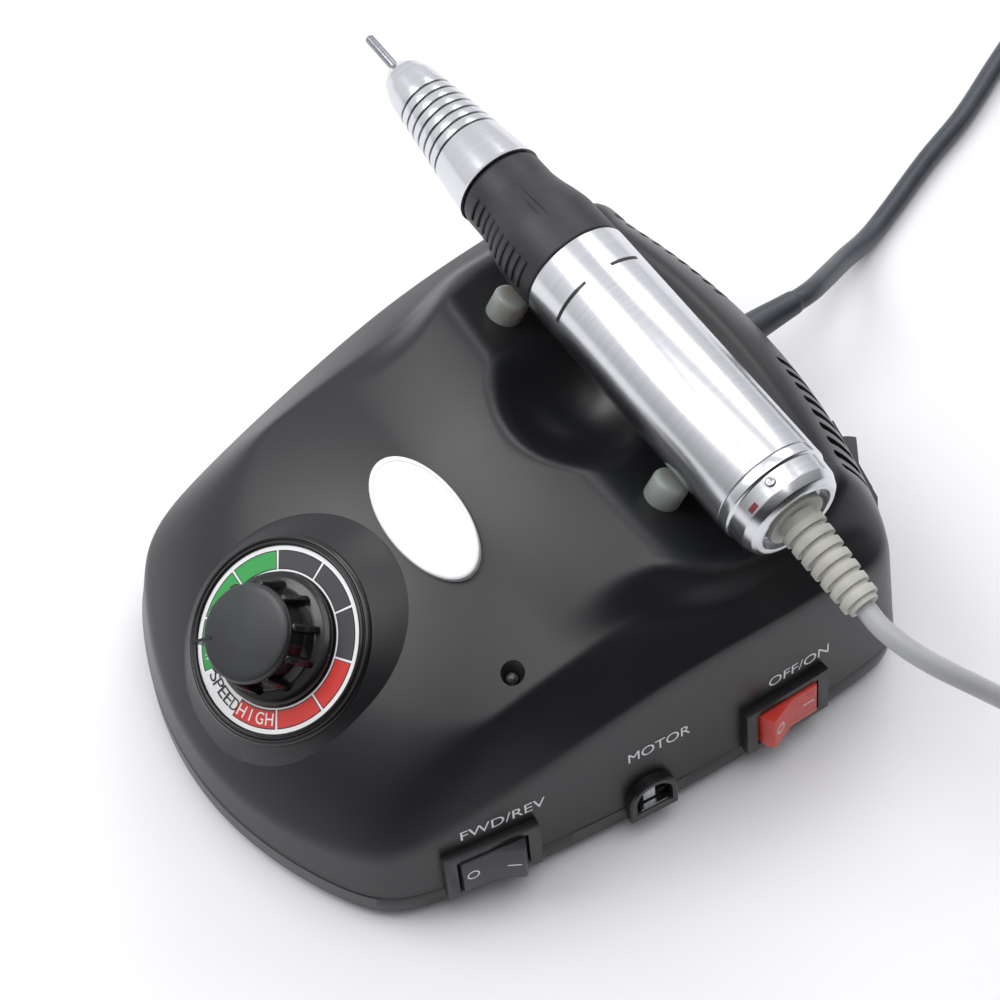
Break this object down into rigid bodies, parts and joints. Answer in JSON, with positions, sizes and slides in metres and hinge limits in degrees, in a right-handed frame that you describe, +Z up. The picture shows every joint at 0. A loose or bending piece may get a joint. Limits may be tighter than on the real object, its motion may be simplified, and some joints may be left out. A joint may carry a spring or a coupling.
{
  "type": "electric nail drill",
  "caption": "Tabletop electric nail drill with a speed dial, rocker switches and a corded motor handpiece lying in a cradle.",
  "frame": {"origin": "on the table, under the middle of the control unit's footprint, at the centre of the face that the feet rest on", "axes": "+X towards the side with the switches, +Y towards the vents and the mains cord, +Z up"},
  "size_m": [0.291, 0.4719, 0.0917],
  "materials": {
    "shell_abs": "satin",
    "black_gloss": "glossy",
    "red_plastic": "glossy",
    "white_plastic": "glossy",
    "aluminium": "satin",
    "steel": "satin",
    "clear_silicone": "satin",
    "black_rubber": "matte",
    "grey_pvc": "satin",
    "dark_pvc": "satin",
    "board_green": "satin",
    "copper": "satin",
    "led_lens": "glossy"
  },
  "bodies": {
    "housing": {"base_tray": "shell_abs", "top_shell": "shell_abs", "rubber_feet": "black_rubber", "case_screws": "steel", "transformer_core": "steel", "transformer_coil": "copper", "transformer_screws": "steel", "control_board": "board_green", "board_screws": "steel", "filter_capacitors": "black_gloss", "heat_sink": "aluminium", "power_transistor": "black_gloss", "speed_pot": "steel", "pot_nut": "steel", "dial_plate": "white_plastic", "oval_badge": "white_plastic", "power_led": "led_lens", "cradle_pads": "clear_silicone", "fwd_rev_bezel": "black_gloss", "power_bezel": "black_gloss", "mode_bezel": "black_gloss", "motor_jack": "black_gloss", "pedal_jack": "black_gloss", "mains_gland": "dark_pvc", "mains_cord": "dark_pvc", "mains_coil": "dark_pvc", "mains_plug": "dark_pvc", "handpiece_cord": "grey_pvc", "handpiece_coil": "grey_pvc", "motor_plug": "black_gloss"},
    "knob": {"pot_shaft": "steel", "speed_knob": "black_gloss", "knob_cap": "black_gloss"},
    "fwd_rev": {"fwd_rev_rocker": "black_gloss"},
    "power": {"power_rocker": "red_plastic"},
    "mode": {"mode_rocker": "black_gloss"},
    "handpiece": {"nose_cone": "aluminium", "rear_barrel": "aluminium", "end_cap": "aluminium", "end_cap_screws": "steel", "cord_boot": "grey_pvc", "motor_can": "steel", "brush_cap": "black_gloss", "front_bearing": "steel", "rear_bearing": "steel", "chuck_spring": "steel"},
    "lock": {"lock_sleeve": "black_gloss"},
    "spindle": {"spindle": "steel", "collet": "steel", "rotor": "copper"},
    "bit": {"nail_bit": "steel"}
  },
  "joints": [
    {"name": "speed_turn", "type": "hinge", "parent": "housing", "child": "knob", "pos_m": [0, -0.058, 0.04746], "axis": [0, 0.5592, -0.829], "range_deg": [0, 290]},
    {"name": "direction_switch", "type": "hinge", "parent": "housing", "child": "fwd_rev", "pos_m": [0.05776, -0.04204, 0.01683], "axis": [-0.1537, 0.0294, 0.9877], "range_deg": [0, 22]},
    {"name": "power_switch", "type": "hinge", "parent": "housing", "child": "power", "pos_m": [0.0661, 0.03399, 0.01683], "axis": [-0.1564, 0.0044, 0.9877], "range_deg": [-22, 0]},
    {"name": "mode_switch", "type": "hinge", "parent": "housing", "child": "mode", "pos_m": [0.03104, 0.08027, 0.02703], "axis": [-0.0334, -0.1528, 0.9877], "range_deg": [0, 22]},
    {"name": "handpiece_lift", "type": "slide", "parent": "housing", "child": "handpiece", "axis": [0, 0, 1], "range_m": [0, 0.06]},
    {"name": "lock_turn", "type": "hinge", "parent": "handpiece", "child": "lock", "pos_m": [-0.04, 0.04, 0.0784], "axis": [1, 0, 0], "range_deg": [0, 40]},
    {"name": "spindle_spin", "type": "hinge", "parent": "handpiece", "child": "spindle", "pos_m": [-0.06, 0.04, 0.0784], "axis": [1, 0, 0], "continuous": true},
    {"name": "bit_pull", "type": "slide", "parent": "spindle", "child": "bit", "axis": [-1, 0, 0], "range_m": [0, 0.03]}
  ]
}
